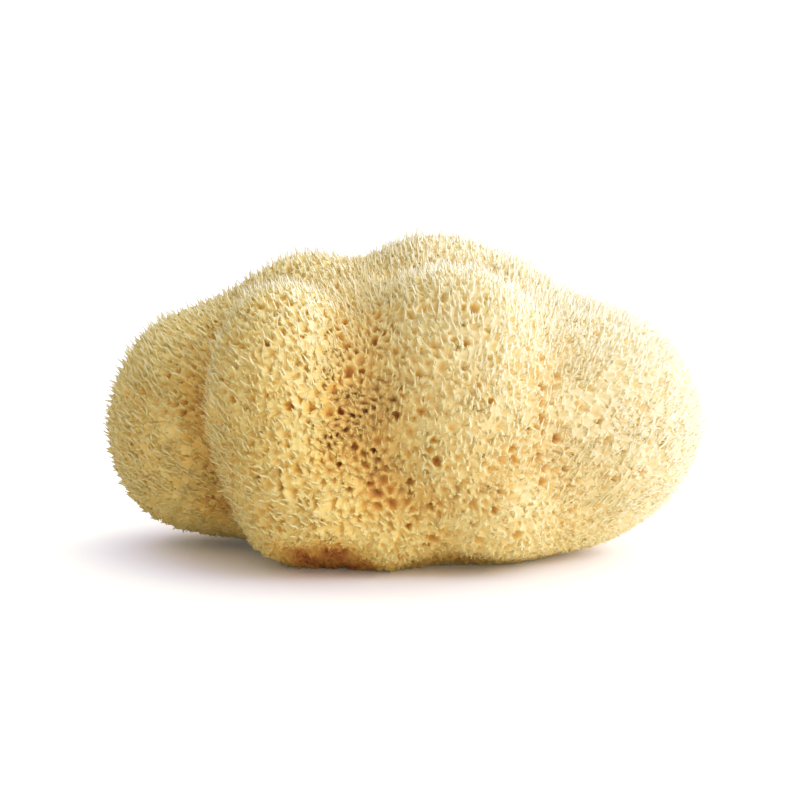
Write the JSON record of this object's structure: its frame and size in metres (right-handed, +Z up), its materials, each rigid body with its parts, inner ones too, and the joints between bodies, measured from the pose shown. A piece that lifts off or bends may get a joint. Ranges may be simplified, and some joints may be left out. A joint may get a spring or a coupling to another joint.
{
  "type": "sea sponge",
  "caption": "Natural bath sea sponge, dried and cut flat underneath, with soft rounded lobes, a bristly open-celled skin and deeper pits in its folds",
  "frame": {"origin": "middle of the bounding box at the level of the flat cut that the sponge rests on", "axes": "+X along the sponge's length, towards its broad smooth lobe; +Z up from the flat cut; -Y towards the two large front lobes, the side that the picture shows"},
  "size_m": [0.1424, 0.096, 0.0745],
  "materials": {
    "dried_sponge": "matte"
  },
  "bodies": {
    "root": {"sponge": "dried_sponge"}
  },
  "joints": []
}
